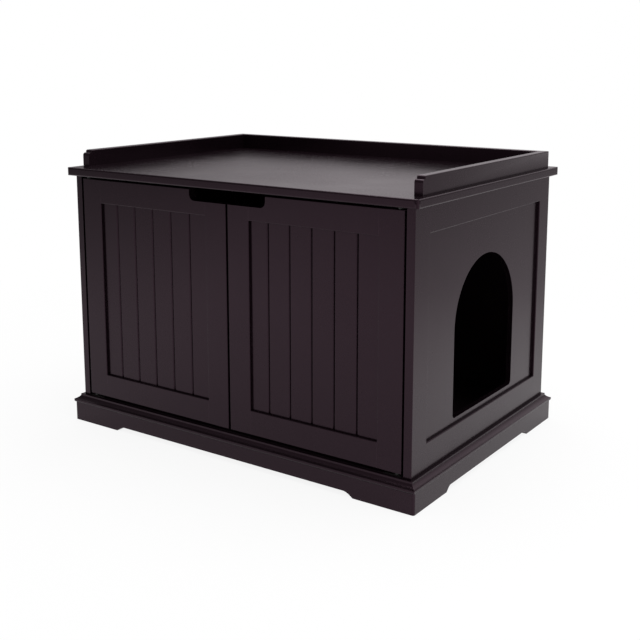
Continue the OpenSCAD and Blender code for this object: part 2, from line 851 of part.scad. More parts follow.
module door_meeting_stile() {
    difference() {
        board([door_in, front_y, door_z0], [door_rec_in, door_back, door_z1]);
        stile_groove(door_rec_in - tongue, door_rec_in + over);
        door_edge_cuts();
        hand_hole();
        strike_place() small_screw_hole(strike_screw_l);
    }
}

// A rail has a tongue at each end and a groove along the edge that faces the bead-board
module door_rail(z0, z1, groove_z0, groove_z1) {
    difference() {
        union() {
            board([door_rec_in, front_y, z0], [door_rec_out, door_back, z1]);
            board([door_rec_in - tongue, board_y0, z0], [door_rec_out + tongue, board_y1, z1]);
        }
        board([door_rec_in - tongue - over, board_y0, groove_z0],
              [door_rec_out + tongue + over, board_y1, groove_z1]);
        door_edge_cuts();
        hand_hole();
    }
}

module door_top_rail() { door_rail(door_rec_z1, door_z1, door_rec_z1 - over, door_rec_z1 + tongue); }
module door_bottom_rail() { door_rail(door_z0, door_rec_z0, door_rec_z0 - tongue, door_rec_z0 + over); }

// Both doors use the same bead-board, so its first board is at the left on each of them
module bead_board(rec_left) {
    rec_w = door_rec_out - door_rec_in;
    steps = floor((rec_w - groove_first - groove_w) / groove_pitch);
    difference() {
        board([rec_left - tongue + board_play, board_y0, door_rec_z0 - tongue],
              [rec_left + rec_w + tongue - board_play, board_y1, door_rec_z1 + tongue - board_play]);
        for (i = [0:steps]) translate([rec_left + groove_first + groove_pitch * i, board_y0]) along_z(
            door_rec_z0 - tongue - over, door_rec_z1 + tongue + over)
            polygon([[-groove_w / 2, -over], [-groove_w / 2, 0], [0, groove_deep],
                     [groove_w / 2, 0], [groove_w / 2, -over]]);
    }
}

module right_door_hinge_stile() { color(espresso) door_hinge_stile(); }
module right_door_meeting_stile() { color(espresso) door_meeting_stile(); }
module right_door_top_rail() { color(espresso) door_top_rail(); }
module right_door_bottom_rail() { color(espresso) door_bottom_rail(); }
module right_door_panel() { color(espresso) bead_board(door_rec_in); }
module left_door_hinge_stile() { color(espresso) left_side() door_hinge_stile(); }
module left_door_meeting_stile() { color(espresso) left_side() door_meeting_stile(); }
module left_door_top_rail() { color(espresso) left_side() door_top_rail(); }
module left_door_bottom_rail() { color(espresso) left_side() door_bottom_rail(); }
module left_door_panel() { color(espresso) bead_board(-door_rec_out); }

// Pivot hinges: a plate with a pin on the carcass, a leaf with a hole in the end of the door

// The leaf's outline in its real X and Y, h thick
module leaf_blank(h) {
    corner = leaf_w / 6;
    translate([door_out - leaf_l / 2, leaf_mid_y, 0]) linear_extrude(h) soft_rect(leaf_l, leaf_w, corner);
}

// A frame at the door's top or bottom end whose +Z points out of the door
module at_door_end(top) {
    if (top) translate([0, 0, door_z1]) children();
    else translate([0, 0, door_z0]) mirror([0, 0, 1]) children();
}

module leaf_screw_places() {
    for (s = leaf_screw_shares)
        translate([pivot_x - (leaf_l - pivot_in) * s, leaf_mid_y, 0]) children();
}

module hinge_leaf() {
    difference() {
        translate([0, 0, -leaf_t]) leaf_blank(leaf_t);
        translate([pivot_x, pivot_y, -leaf_t - over]) cylinder(h = leaf_t + 2 * over, r = pin_r + pin_fit);
        leaf_screw_places() small_screw_hole(leaf_screw_l);
    }
}

module hinge_leaves() { for (top = [false, true]) at_door_end(top) hinge_leaf(); }
module right_hinge_leaves() { color(dark_steel) hinge_leaves(); }
module left_hinge_leaves() { color(dark_steel) left_side() hinge_leaves(); }

// The plate lies on the carcass face that the door's end faces, and its pin reaches into the door
module hinge_plate() {
    plate_z = door_end_gap - leaf_t;
    difference() {
        union() {
            translate([0, 0, plate_z]) leaf_blank(leaf_t);
            translate([pivot_x, pivot_y, door_end_gap - pin_l]) cylinder(h = pin_l, r = pin_r);
        }
        leaf_screw_places() translate([0, 0, plate_z]) rotate([180, 0, 0]) small_screw_hole(hinge_screw_l);
    }
}

module hinge_plate_screw_places(ends) {
    both_sides() for (top = ends) at_door_end(top) leaf_screw_places()
        translate([0, 0, door_end_gap - leaf_t]) rotate([180, 0, 0]) children();
}

module hinge_plate_screws() {
    color(dark_steel) hinge_plate_screw_places([false, true]) small_screw(hinge_screw_l);
}

module hinge_washers() {
    color(nylon) both_sides() for (top = [false, true])
        at_door_end(top) translate([pivot_x, pivot_y, washer_gap]) difference() {
            cylinder(h = washer_t, r = washer_r);
            translate([0, 0, -over]) cylinder(h = washer_t + 2 * over, r = pin_r + pin_fit);
        }
}

module right_top_hinge_plate() { color(dark_steel) at_door_end(true) hinge_plate(); }
module right_bottom_hinge_plate() { color(dark_steel) at_door_end(false) hinge_plate(); }
module left_top_hinge_plate() { color(dark_steel) left_side() at_door_end(true) hinge_plate(); }
module left_bottom_hinge_plate() { color(dark_steel) left_side() at_door_end(false) hinge_plate(); }

// Double magnetic catch on the floor behind the doors, and a strike plate on each door

module magnet_places() {
    both_sides() translate([magnet_x, catch_y0, magnet_z]) rotate([-90, 0, 0]) children();
}

module catch_screw_places() {
    both_sides() translate([(catch_w - catch_ear_w) / 2, catch_y0 + catch_dp / 2, base_h + catch_ear_t])
        children();
}

module catch_housing() {
    color(black_plastic) difference() {
        union() {
            board([-catch_w / 2, catch_y0, base_h], [catch_w / 2, catch_y0 + catch_dp, base_h + catch_ear_t]);
            board([-catch_block_w / 2, catch_y0, base_h],
                  [catch_block_w / 2, catch_y0 + catch_dp, catch_top]);
        }
        magnet_places() translate([0, 0, -over]) cylinder(h = magnet_t + over, r = magnet_r);
        catch_screw_places() small_screw_hole(catch_screw_l);
    }
}

module catch_magnets() { color(zinc) magnet_places() cylinder(h = magnet_t, r = magnet_r); }
module catch_screws() { color(dark_steel) catch_screw_places() small_screw(catch_screw_l); }

// The strike's screw, head face towards the back
module strike_place() {
    translate([magnet_x, door_back + strike_t, door_z0 + strike_up + strike_h / 2])
        rotate([-90, 0, 0]) children();
}

module strike_plate() {
    x0 = magnet_x - strike_w / 2;
    z0 = door_z0 + strike_up;
    difference() {
        board([x0, door_back, z0], [x0 + strike_w, door_back + strike_t, z0 + strike_h]);
        strike_place() small_screw_hole(strike_screw_l);
    }
}

module right_strike_plate() { color(zinc) strike_plate(); }
module left_strike_plate() { color(zinc) left_side() strike_plate(); }

module door_screws() {
    for (top = [false, true]) at_door_end(top) leaf_screw_places() small_screw(leaf_screw_l);
    strike_place() small_screw(strike_screw_l);
}

module right_door_screws() { color(dark_steel) door_screws(); }
module left_door_screws() { color(dark_steel) left_side() door_screws(); }

top_panel();
gallery_rail_back();
gallery_rail_left();
gallery_rail_right();
gallery_screws();
right_front_stile();
right_back_stile();
right_top_rail();
right_bottom_rail();
entrance_panel();
left_front_stile();
left_back_stile();
left_top_rail();
left_bottom_rail();
left_side_panel();
back_panel();
back_panel_screws();
floor_panel();
floor_screws();
floor_cleats();
plinth_front();
plinth_back();
plinth_left();
plinth_right();
base_moulding_front();
base_moulding_back();
base_moulding_left();
base_moulding_right();
corner_blocks();
corner_block_screws();
base_screws();
frame_dowels();
cam_locks();
cam_bolts();
catch_housing();
catch_magnets();
catch_screws();
left_top_hinge_plate();
left_bottom_hinge_plate();
right_top_hinge_plate();
right_bottom_hinge_plate();
hinge_washers();
hinge_plate_screws();
left_door_hinge_stile();
left_door_meeting_stile();
left_door_top_rail();
left_door_bottom_rail();
left_door_panel();
left_hinge_leaves();
left_strike_plate();
left_door_screws();
right_door_hinge_stile();
right_door_meeting_stile();
right_door_top_rail();
right_door_bottom_rail();
right_door_panel();
right_hinge_leaves();
right_strike_plate();
right_door_screws();
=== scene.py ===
# %% [markdown]
# # A cat litter box cabinet in dark espresso paint
# The cabinet is built from flat boards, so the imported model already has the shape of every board,
# hinge and screw. This notebook gives each of them its finish. The boards are redrawn from their
# own solids with clean, smooth-shaded arrises, because a painted arris is what catches the light on
# furniture this dark.

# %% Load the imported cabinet
import json
import math
import bmesh
import bpy
from mathutils import Euler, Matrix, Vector


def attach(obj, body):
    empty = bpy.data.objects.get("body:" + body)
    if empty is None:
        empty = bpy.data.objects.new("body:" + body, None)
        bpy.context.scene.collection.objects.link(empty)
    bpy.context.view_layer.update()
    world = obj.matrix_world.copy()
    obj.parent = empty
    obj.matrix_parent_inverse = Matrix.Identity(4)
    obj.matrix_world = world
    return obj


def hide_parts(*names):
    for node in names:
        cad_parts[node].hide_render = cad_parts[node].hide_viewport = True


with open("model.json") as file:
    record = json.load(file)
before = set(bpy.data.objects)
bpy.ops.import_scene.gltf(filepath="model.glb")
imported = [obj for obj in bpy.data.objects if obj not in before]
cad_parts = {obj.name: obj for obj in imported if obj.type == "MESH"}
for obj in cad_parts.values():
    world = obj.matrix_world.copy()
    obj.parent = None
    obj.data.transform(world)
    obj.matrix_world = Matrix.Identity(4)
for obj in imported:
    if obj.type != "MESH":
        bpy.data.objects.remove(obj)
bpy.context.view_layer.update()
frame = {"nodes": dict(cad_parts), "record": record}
nodes = frame["nodes"]
record = frame["record"]
scene = bpy.context.scene
MM = 0.001

body_of = {n: body for body, names in record["behaviour"]["bodies"].items() for n in names}
slot_of = {part["node"]: part["material_slot"] for part in record["subparts"]}

# %% [markdown]
# ## The camera
# The photograph was taken with a normal lens from the front right, a little above the top, and its
# upright lines stay almost upright. Photographers get that by keeping the camera nearly level and
# shifting the lens, so the camera here has a small downward shift too. Place, direction and focal
# length come from fitting the corners of the cabinet to the photograph. The shift is kept smaller
# than the best fit has, because every other view shares it and a high one would be cut.

# %% Camera
PHOTO_PX = 640
SENSOR_MM = 36
camera_place = Vector((1.1041, -1.5651, 0.7022))
camera_azimuth = math.radians(34.800)
camera_elevation = math.radians(10.085)
focal_px = 1032.1
optical_axis_row_px = 235

camera_data = bpy.data.cameras.new("camera")
camera_data.sensor_width = SENSOR_MM
camera_data.lens = SENSOR_MM * focal_px / PHOTO_PX
camera_data.shift_y = (optical_axis_row_px - PHOTO_PX / 2) / PHOTO_PX
camera = bpy.data.objects.new("camera", camera_data)
camera.location = camera_place
camera.rotation_euler = Euler((math.pi / 2 - camera_elevation, 0, camera_azimuth))
scene.collection.objects.link(camera)
scene.camera = camera
print("lens %.1f mm, shift %.3f" % (camera_data.lens, camera_data.shift_y))

# %% [markdown]
# ## The studio
# Very dark satin paint shows little of its own colour: most of what the eye sees is the room
# mirrored in it, faintly on the doors and strongly along the top, which the camera sees at a
# glancing angle. So the room matters more than the lamps. Looked at straight, it is plain white.
# In the paint it is a pale grey wall under a darker ceiling, dimmer at the left end, in front and
# low on the right, with one broad bright window high at the back. A few helpers come first, because
# the room, the floor and every finish are built from the same kinds of node.

# %% Node helpers
def new_node(tree, kind, inputs=None, **settings):
    """Adds a shader node; inputs are socket values or output sockets to link from."""
    made = tree.nodes.new(kind)
    for key, value in settings.items():
        setattr(made, key, value)
    for key, value in (inputs or {}).items():
        if isinstance(value, bpy.types.NodeSocket):
            tree.links.new(value, made.inputs[key])
        else:
            made.inputs[key].default_value = value
    return made


def maths(tree, operation, a, b=0.0, clamp=False):
    made = new_node(tree, "ShaderNodeMath", {0: a, 1: b}, operation=operation, use_clamp=clamp)
    return made.outputs[0]


def product(tree, *factors):
    total = factors[0]
    for factor in factors[1:]:
        total = maths(tree, "MULTIPLY", total, factor)
    return total


def ramp(tree, value, low, high, out_low=0.0, out_high=1.0):
    """Maps low..high to out_low..out_high and stays there outside it."""
    made = new_node(tree, "ShaderNodeMapRange", {
        "Value": value, "From Min": low, "From Max": high, "To Min": out_low, "To Max": out_high})
    return made.outputs["Result"]


# %% Node helpers: blending, and telling rays apart
def blend_value(tree, amount, a, b):
    """a where the amount is 0, b where it is 1."""
    return new_node(tree, "ShaderNodeMix", {0: amount, 2: a, 3: b}).outputs[0]


def blend_colour(tree, amount, a, b):
    """Colour a where the amount is 0, colour b where it is 1."""
    a, b = ((*c, 1.0) if isinstance(c, tuple) else c for c in (a, b))
    return new_node(tree, "ShaderNodeMix", {0: amount, 6: a, 7: b}, data_type="RGBA").outputs[2]


def kinds_of_ray(tree):
    """Two masks: rays that look straight or through glass, and rays mirrored in a surface."""
    rays = new_node(tree, "ShaderNodeLightPath").outputs
    straight = maths(tree, "MAXIMUM", rays["Is Camera Ray"], rays["Is Transmission Ray"])
    return straight, rays["Is Glossy Ray"]


# %% World: what the paint mirrors
# Each span is two values of one part of the ray's direction, which runs from -1 to 1.
WALL, CEILING, WALL_TO_CEILING = 0.62, 0.30, (0.25, 0.5)
LEFT_END, LEFT_END_KEEPS = (-0.54, -0.74), 0.45
FRONT, FRONT_UNDER, FRONT_LOSES = (0.2, -0.2), (0.5, 0.25), 0.65
RIGHT, RIGHT_UNDER, RIGHT_LOSES = (0.1, 0.5), (0.32, 0.16), 0.75
WINDOW_OVER, WINDOW_UNDER, WINDOW_BACK, WINDOW = (0.33, 0.5), (0.85, 0.65), (0.1, 0.5), 0.75

world = bpy.data.worlds.new("white_room")
scene.world = world
world.use_nodes = True
tree = world.node_tree
tree.nodes.clear()
direction = new_node(tree, "ShaderNodeTexCoord").outputs["Generated"]
rightward, backward, height = new_node(tree, "ShaderNodeSeparateXYZ", {0: direction}).outputs
front_loss = product(tree, ramp(tree, backward, *FRONT, 0.0, FRONT_LOSES),
                     ramp(tree, height, *FRONT_UNDER))
right_loss = product(tree, ramp(tree, rightward, *RIGHT, 0.0, RIGHT_LOSES),
                     ramp(tree, height, *RIGHT_UNDER))
walls = product(tree, ramp(tree, height, *WALL_TO_CEILING, WALL, CEILING),
                ramp(tree, rightward, *LEFT_END, 1.0, LEFT_END_KEEPS),
                maths(tree, "SUBTRACT", 1.0, front_loss),
                maths(tree, "SUBTRACT", 1.0, right_loss))
window = product(tree, ramp(tree, height, *WINDOW_OVER), ramp(tree, height, *WINDOW_UNDER),
                 ramp(tree, backward, *WINDOW_BACK, 0.0, WINDOW))
mirrored = maths(tree, "ADD", walls, window)
print("mirrored room: wall", WALL, "ceiling", CEILING, "window", WINDOW)

# %% World: what each kind of ray sees
scene.view_settings.view_transform = "Standard"
ROOM_WHITE = 1.0
ROOM_FILL = 0.55
PLAIN = (1.0, 1.0, 1.0)
ROOM_TINT = (1.0, 0.93, 0.965)

straight, glossy = kinds_of_ray(tree)
indirect = blend_value(tree, glossy, ROOM_FILL, mirrored)
new_node(tree, "ShaderNodeOutputWorld", {"Surface": new_node(tree, "ShaderNodeBackground", {
    "Color": blend_colour(tree, glossy, PLAIN, ROOM_TINT),
    "Strength": blend_value(tree, straight, indirect, ROOM_WHITE)}).outputs[0]})
print("world: white", ROOM_WHITE, "fill", ROOM_FILL)

# %% [markdown]
# ## The floor
# The floor is a plain white sheet. Looked at straight, it glows as white as the room, and near the
# cabinet a share of its real, shaded surface is kept, which is what leaves the soft shadow. In the
# paint the same floor fades with distance, as a real studio floor does outside the lamps' reach,
# and close in front of the cabinet it starts darker, a painted shadow of the cabinet. The doors
# mirror what lies ahead of the cabinet, and the entrance side what lies beside and behind it.

# %% Floor: the sheet
FLOOR_HALF = 6.0
bm = bmesh.new()
bmesh.ops.create_grid(bm, x_segments=2, y_segments=2, size=FLOOR_HALF)
mesh = bpy.data.meshes.new("floor")
bm.to_mesh(mesh)
bm.free()
floor = bpy.data.objects.new("floor", mesh)
scene.collection.objects.link(floor)

FLOOR_WHITE = (0.86, 0.86, 0.86)
FLOOR_ROUGHNESS = 0.9
material = bpy.data.materials.new("floor_white")
material.use_nodes = True
mesh.materials.append(material)
tree = material.node_tree
shader = tree.nodes["Principled BSDF"]
shader.inputs["Base Color"].default_value = (*FLOOR_WHITE, 1.0)
shader.inputs["Roughness"].default_value = FLOOR_ROUGHNESS
shader.inputs["Specular IOR Level"].default_value = 0.0
print("floor:", 2 * FLOOR_HALF, "m across")

# %% Floor: how much of its shadow shows
# All distances are metres from the middle of the cabinet.
SHADOW_REACH = (1.5, 0.5)
SHADOW_KEEPS = 0.12
MIRRORED_KEEPS = 0.50

straight, glossy = kinds_of_ray(tree)
place = new_node(tree, "ShaderNodeTexCoord").outputs["Object"]
away = new_node(tree, "ShaderNodeVectorMath", {0: place}, operation="LENGTH").outputs["Value"]
keeps = blend_value(tree, glossy, SHADOW_KEEPS, MIRRORED_KEEPS)
shadowed = product(tree, keeps, ramp(tree, away, *SHADOW_REACH))
share = product(tree, maths(tree, "MAXIMUM", straight, glossy),
                maths(tree, "SUBTRACT", 1.0, shadowed))
print("shadow kept: straight", SHADOW_KEEPS, "mirrored", MIRRORED_KEEPS)

# %% Floor: how it fades in the paint, with a painted shadow ahead
# Each fade is two distances and then the level at each of them.
BEHIND_STARTS = (-0.45, -0.2)
BEHIND_FADES = ((0.5, 1.5, 1.0, 0.63), (1.5, 3.0, 1.0, 0.75))
# The first fade ahead is a painted shadow: the mirrored floor is darker close in front.
AHEAD_SHADOW_AND_FADES = ((0.3, 1.2, 0.56, 1.0), (1.2, 4.5, 1.0, 0.68))
LEFT_FADE, LEFT_LEAN = (0.2, 1.4, 1.0, 0.58), 0.5
TINT_STARTS = (0.6, 1.4)

x, y, _ = new_node(tree, "ShaderNodeSeparateXYZ", {0: place}).outputs
leftness = maths(tree, "SUBTRACT", maths(tree, "MULTIPLY", y, LEFT_LEAN), x)
behind = product(tree, *(ramp(tree, away, *fade) for fade in BEHIND_FADES))
ahead = product(tree, *(ramp(tree, away, *fade) for fade in AHEAD_SHADOW_AND_FADES),
                ramp(tree, leftness, *LEFT_FADE))
is_behind = ramp(tree, y, *BEHIND_STARTS)
level = blend_value(tree, glossy, 1.0, blend_value(tree, is_behind, ahead, behind))
tinted = product(tree, is_behind, ramp(tree, away, *TINT_STARTS), glossy)
glow = new_node(tree, "ShaderNodeEmission", {
    "Color": blend_colour(tree, tinted, PLAIN, ROOM_TINT), "Strength": level})
mix = new_node(tree, "ShaderNodeMixShader", {0: share, 1: shader.outputs[0], 2: glow.outputs[0]})
tree.links.new(mix.outputs[0], tree.nodes["Material Output"].inputs["Surface"])
print("floor material:", material.name, "nodes:", len(tree.nodes))

# %% [markdown]
# ## The lamps
# Two large softboxes do the rest: one overhead, a little behind the middle of the cabinet, and a
# weaker one on the right that lifts the entrance side. Large lamps close by give the wide, soft
# shadow of a product photograph.

# %% Lamps
def soft_lamp(name, place, aim, size, watts):
    data = bpy.data.lights.new(name, "AREA")
    data.shape = "RECTANGLE"
    data.size, data.size_y = size
    data.energy = watts
    lamp = bpy.data.objects.new(name, data)
    lamp.location = place
    lamp.rotation_euler = (Vector(aim) - Vector(place)).to_track_quat("-Z", "Y").to_euler()
    scene.collection.objects.link(lamp)


cabinet_middle = (0, 0, 0.26)
soft_lamp("overhead_softbox", (0.2, 0.3, 2.6), cabinet_middle, size=(2.6, 2.4), watts=60)
soft_lamp("right_softbox", (2.6, -0.4, 1.1), cabinet_middle, size=(1.6, 1.6), watts=16)

# %% [markdown]
# ## What the finishes share
# Three effects turn up in several finishes, so each is a node group that is built once: sprayed
# paint, bare timber and worked metal. All of them read Object coordinates. Every piece keeps its
# object at the origin, so a pattern runs on from one board to the next without a jump.

# %% Groups: building one
# Nearly all the values of a noise lie in this span.
MOST = (0.3, 0.7)


def new_group(name, inputs, outputs):
    group = bpy.data.node_groups.new(name, "ShaderNodeTree")
    kinds = {"colour": "NodeSocketColor", "value": "NodeSocketFloat", "vector": "NodeSocketVector"}
    for socket, kind, default in inputs:
        made = group.interface.new_socket(socket, in_out="INPUT", socket_type=kinds[kind])
        if default is not None:
            made.default_value = (*default, 1.0) if kind == "colour" else default
    for socket, kind in outputs:
        group.interface.new_socket(socket, in_out="OUTPUT", socket_type=kinds[kind])
    start = group.nodes.new("NodeGroupInput")
    end = group.nodes.new("NodeGroupOutput")
    return group, start.outputs, end.inputs


def noise(tree, vector, scale, detail=2.0, roughness=0.5, stretch=None):
    if stretch:
        mapping = new_node(tree, "ShaderNodeMapping", {"Vector": vector, "Scale": stretch})
        vector = mapping.outputs[0]
    return new_node(tree, "ShaderNodeTexNoise", {
        "Vector": vector, "Scale": scale, "Detail": detail, "Roughness": roughness}).outputs["Fac"]


# %% [markdown]
# ### Sprayed paint
# A sprayed board is never one flat colour. It has a slow unevenness from one pass of the gun to the
# next, finer clouds, and a stipple that can only just be felt. Along its arrises the colour is made
# lighter: partly the thin coat rubbing through, partly a painted highlight where a rounded arris
# would catch the light. A Bevel node finds the arrises: where the rounded normal leaves the face's
# own normal, the surface is close to an edge. Noise breaks the lighter line up, because hands and
# cloths don't wear it evenly.

# %% Group: sprayed paint, its colour
FLAT_DOT, ARRIS_DOT = 0.995, 0.86
WEAR_AND_HIGHLIGHT_SPAN, WEAR_AND_HIGHLIGHT_LEAST = (0.35, 0.7), 0.35
SLOW_TONE, CLOUD_TONE = (0.9, 1.1), (1.0, 1.24)

paint_group, has, gives = new_group(
    "sprayed_paint",
    [("Vector", "vector", None), ("Paint", "colour", (0.02, 0.015, 0.016)),
     ("Wear_and_highlight", "colour", (0.1, 0.08, 0.08)), ("Gloss", "value", 0.4), ("Arris", "value", 0.0015)],
    [("Colour", "colour"), ("Roughness", "value"), ("Height", "value")])
tree = paint_group
slow = noise(tree, has["Vector"], scale=7, detail=3)
cloud = noise(tree, has["Vector"], scale=45, detail=3)
tone = product(tree, ramp(tree, slow, *MOST, *SLOW_TONE), ramp(tree, cloud, *MOST, *CLOUD_TONE))
colour = new_node(tree, "ShaderNodeVectorMath", {0: has["Paint"], "Scale": tone},
                  operation="SCALE").outputs[0]
rounded = new_node(tree, "ShaderNodeBevel", {"Radius": has["Arris"]}, samples=6).outputs[0]
flat = new_node(tree, "ShaderNodeNewGeometry").outputs["Normal"]
agree = new_node(tree, "ShaderNodeVectorMath", {0: rounded, 1: flat}, operation="DOT_PRODUCT")
on_arris = ramp(tree, agree.outputs["Value"], FLAT_DOT, ARRIS_DOT)
broken = ramp(tree, noise(tree, has["Vector"], scale=160, detail=3), *WEAR_AND_HIGHLIGHT_SPAN, WEAR_AND_HIGHLIGHT_LEAST, 1.0)
# The lighter arris colour is partly worn paint and partly a painted highlight.
wear_and_highlight = product(tree, on_arris, broken)
tree.links.new(blend_colour(tree, wear_and_highlight, colour, has["Wear_and_highlight"]), gives["Colour"])
print("paint: rubs where the normals' dot product falls below", FLAT_DOT)

# %% Group: sprayed paint, its surface
DULL = 0.03
FLECK_SPAN, FLECK_DULLS = (0.62, 0.75), 0.05
SPECK_SHARE = 0.6

stipple = noise(tree, has["Vector"], scale=1400, detail=0)
speck = noise(tree, has["Vector"], scale=420, detail=0)
dull = ramp(tree, slow, *MOST, -DULL, DULL)
fleck = ramp(tree, speck, *FLECK_SPAN, 0.0, FLECK_DULLS)
rough = maths(tree, "ADD", maths(tree, "ADD", has["Gloss"], dull), fleck, clamp=True)
tree.links.new(rough, gives["Roughness"])
height = maths(tree, "ADD", stipple, maths(tree, "MULTIPLY", speck, SPECK_SHARE))
tree.links.new(height, gives["Height"])
print("group:", paint_group.name, "nodes:", len(tree.nodes))

# %% [markdown]
# ### Bare timber
# The cleats, corner blocks and dowels are never painted. Sawn softwood shows its year rings as
# bands of pale early and dark late wood, slightly warped, with fine pores along the grain. A wave
# texture in rings gives the bands, and noise stretched along one axis gives the pores.

# %% Group: bare timber
WARP_X, WARP_Z = 0.02, 0.03
LATE_SPAN, LATE_LEAST = (0.35, 0.725), 0.5
RING_HEIGHT = 0.3
PORE_ROUGHNESS = (0.55, 0.75)

timber_group, has, gives = new_group(
    "bare_timber",
    [("Vector", "vector", None), ("Early", "colour", (0.6, 0.43, 0.25)),
     ("Late", "colour", (0.4, 0.24, 0.11)), ("Rings", "value", 24.0)],
    [("Colour", "colour"), ("Roughness", "value"), ("Height", "value")])
tree = timber_group
warp = noise(tree, has["Vector"], scale=6)
push = new_node(tree, "ShaderNodeCombineXYZ", {
    "X": maths(tree, "MULTIPLY", warp, WARP_X), "Z": maths(tree, "MULTIPLY", warp, WARP_Z)})
warped = new_node(tree, "ShaderNodeVectorMath", {0: has["Vector"], 1: push.outputs[0]},
                  operation="ADD").outputs[0]
rings = new_node(tree, "ShaderNodeTexWave", {
    "Vector": warped, "Scale": has["Rings"], "Distortion": 2.2, "Detail": 2.0,
    "Detail Scale": 1.6}, wave_type="RINGS", rings_direction="Y").outputs["Fac"]
pores = noise(tree, has["Vector"], scale=900, stretch=(1, 0.05, 1))
late = ramp(tree, rings, *LATE_SPAN, LATE_LEAST, 1.0)
tree.links.new(blend_colour(tree, late, has["Early"], has["Late"]), gives["Colour"])
tree.links.new(ramp(tree, pores, *MOST, *PORE_ROUGHNESS), gives["Roughness"])
height = maths(tree, "ADD", pores, maths(tree, "MULTIPLY", rings, RING_HEIGHT))
tree.links.new(height, gives["Height"])
print("group:", timber_group.name, "nodes:", len(tree.nodes))

# %% [markdown]
# ### Worked metal
# Plates, leaves and screws are drawn, pressed or plated, which leaves very fine lines in one
# direction and cloudy patches where the plating has dulled. Stretched noise gives the lines, and a
# broader noise picks the dull patches, which are rougher as well as darker.

# %% Group: worked metal
STAIN_SPAN, STAIN_MOST = (0.45, 0.8), 0.7
STAIN_DULLS = 0.2
LINE_POLISH = (-0.06, 0.1)

metal_group, has, gives = new_group(
    "worked_metal",
    [("Vector", "vector", None), ("Metal", "colour", (0.4, 0.4, 0.4)),
     ("Tarnish", "colour", (0.2, 0.18, 0.16)), ("Polish", "value", 0.35)],
    [("Colour", "colour"), ("Roughness", "value"), ("Height", "value")])
tree = metal_group
lines = noise(tree, has["Vector"], scale=2600, stretch=(0.06, 1, 1))
patches = noise(tree, has["Vector"], scale=130, detail=4, roughness=0.6)
stain = ramp(tree, patches, *STAIN_SPAN, 0.0, STAIN_MOST)
tree.links.new(blend_colour(tree, stain, has["Metal"], has["Tarnish"]), gives["Colour"])
worn = maths(tree, "ADD", has["Polish"], ramp(tree, lines, *MOST, *LINE_POLISH))
worn = maths(tree, "ADD", worn, maths(tree, "MULTIPLY", stain, STAIN_DULLS), clamp=True)
tree.links.new(worn, gives["Roughness"])
tree.links.new(lines, gives["Height"])
print("group:", metal_group.name, "nodes:", len(tree.nodes))

# %% [markdown]
# ## The finishes
# The boards are sprayed in one espresso colour, a brown that is nearly black with a little red in
# it. The satin coat is thin, so it mirrors less than plain varnish would: its refractive index is
# set low, and what it mirrors is tinted a little red. The inside is the same colour but flatter.
# The cleats, corner blocks and dowels stay bare, and the fittings are plated steel, zinc and
# moulded plastic. What is the same all over a surface, such as its refractive index, is set on the
# shader itself. The group gives only what changes from place to place.

# %% Finishes: building one
def finish(name, group, values, bump_mm, metallic=0.0, ior=1.45, tint=(1.0, 1.0, 1.0)):
    """A Principled material whose colour, roughness and bump come from one of the groups."""
    made = bpy.data.materials.new(name)
    made.use_nodes = True
    tree = made.node_tree
    shader = tree.nodes["Principled BSDF"]
    shader.inputs["Metallic"].default_value = metallic
    shader.inputs["IOR"].default_value = ior
    shader.inputs["Specular Tint"].default_value = (*tint, 1.0)
    effect = tree.nodes.new("ShaderNodeGroup")
    effect.node_tree = group
    place = new_node(tree, "ShaderNodeTexCoord").outputs["Object"]
    tree.links.new(place, effect.inputs["Vector"])
    for key, value in values.items():
        effect.inputs[key].default_value = (*value, 1.0) if isinstance(value, tuple) else value
    bump = new_node(tree, "ShaderNodeBump", {
        "Strength": 1.0, "Distance": bump_mm * MM, "Height": effect.outputs["Height"]})
    tree.links.new(effect.outputs["Colour"], shader.inputs["Base Color"])
    tree.links.new(effect.outputs["Roughness"], shader.inputs["Roughness"])
    tree.links.new(bump.outputs["Normal"], shader.inputs["Normal"])
    return made


# %% Finishes: boards and bare wood
SATIN_TINT = (1.0, 0.62, 0.82)
# In each finish the lighter arris colour is partly wear and partly a painted highlight.
finishes = {
    "espresso": finish(
        "espresso_paint", paint_group,
        {"Paint": (0.0030, 0.0014, 0.0022), "Wear_and_highlight": (0.020, 0.012, 0.016), "Gloss": 0.22},
        bump_mm=0.002, ior=1.40, tint=SATIN_TINT),
    "espresso_inside": finish(
        "espresso_inside", paint_group,
        {"Paint": (0.0055, 0.0030, 0.0040), "Wear_and_highlight": (0.010, 0.006, 0.008), "Gloss": 0.55},
        bump_mm=0.01, ior=1.36, tint=SATIN_TINT),
    "bare_wood": finish(
        "bare_timber", timber_group,
        {"Early": (0.56, 0.41, 0.25), "Late": (0.38, 0.23, 0.11)}, bump_mm=0.05),
}
print("finishes of wood:", sorted(finishes))

# %% Finishes: metals
finishes["hinge_steel"] = finish(
    "bronzed_steel", metal_group,
    {"Metal": (0.020, 0.018, 0.017), "Tarnish": (0.012, 0.011, 0.010), "Polish": 0.5},
    bump_mm=0.004, metallic=0.6)
finishes["screw_steel"] = finish(
    "dark_zinc_plate", metal_group,
    {"Metal": (0.28, 0.27, 0.25), "Tarnish": (0.14, 0.13, 0.12), "Polish": 0.36},
    bump_mm=0.003, metallic=1.0)
finishes["zinc"] = finish(
    "die_cast_zinc", metal_group,
    {"Metal": (0.52, 0.53, 0.54), "Tarnish": (0.36, 0.36, 0.36), "Polish": 0.45},
    bump_mm=0.006, metallic=1.0)
finishes["magnet"] = finish(
    "nickel_plate", metal_group,
    {"Metal": (0.62, 0.60, 0.56), "Tarnish": (0.5, 0.48, 0.45), "Polish": 0.2},
    bump_mm=0.002, metallic=1.0)
finishes["strike_steel"] = finish(
    "bright_steel", metal_group,
    {"Metal": (0.55, 0.55, 0.55), "Tarnish": (0.42, 0.41, 0.40), "Polish": 0.3},
    bump_mm=0.003, metallic=1.0)
